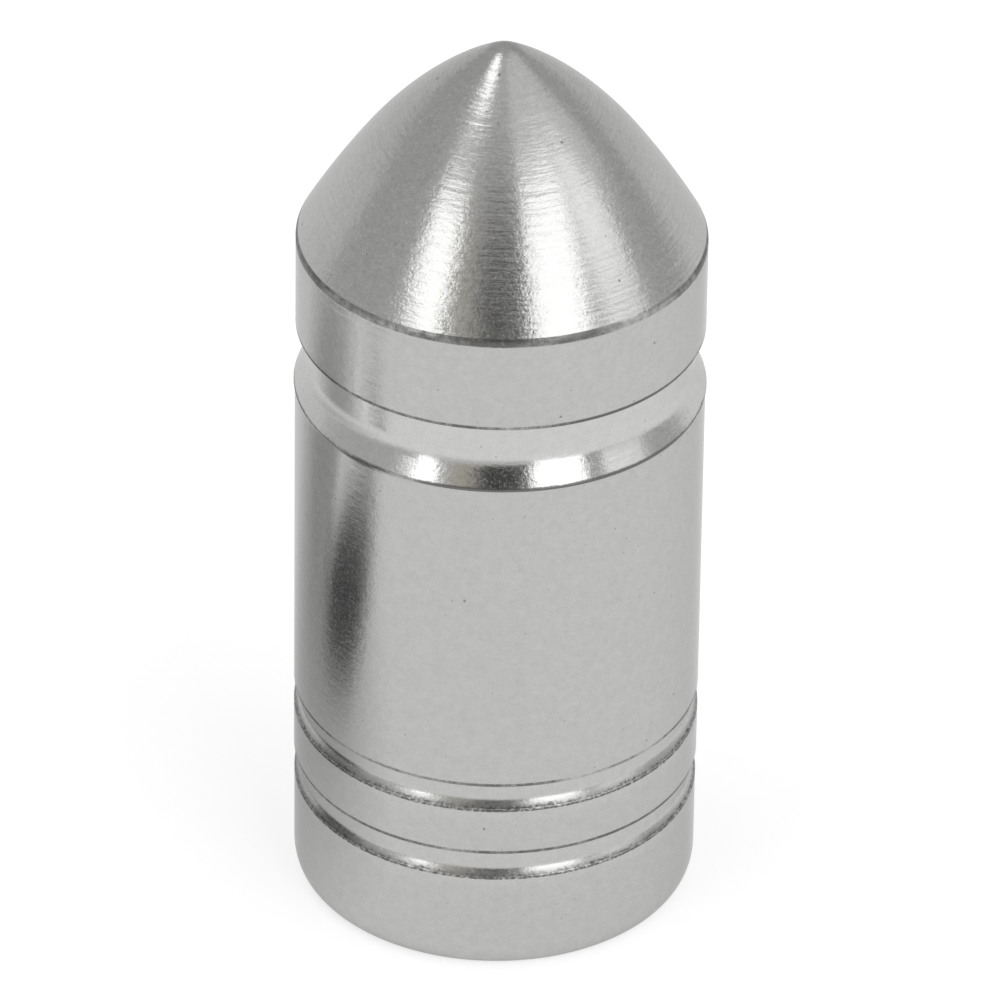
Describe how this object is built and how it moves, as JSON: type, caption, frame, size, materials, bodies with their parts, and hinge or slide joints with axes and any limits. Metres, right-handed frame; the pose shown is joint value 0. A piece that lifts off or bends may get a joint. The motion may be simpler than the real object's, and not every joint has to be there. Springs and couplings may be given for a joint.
{
  "type": "tyre valve cap",
  "caption": "Turned metal cap for a tyre valve stem: straight grooved body, long arched nose, threaded bore from the mouth and a rubber sealing washer inside.",
  "frame": {"origin": "centre of the open mouth, on the flat rim that the cap stands on", "axes": "+Z along the cap's axis, from the mouth to the tip of the nose; X and Y are equal, because the cap is round"},
  "size_m": [0.01, 0.01, 0.0235],
  "materials": {
    "turned_aluminium": "satin, fine turned",
    "black_rubber": "matt moulded"
  },
  "bodies": {
    "root": {"cap_body": "turned_aluminium", "sealing_washer": "black_rubber"}
  },
  "joints": []
}
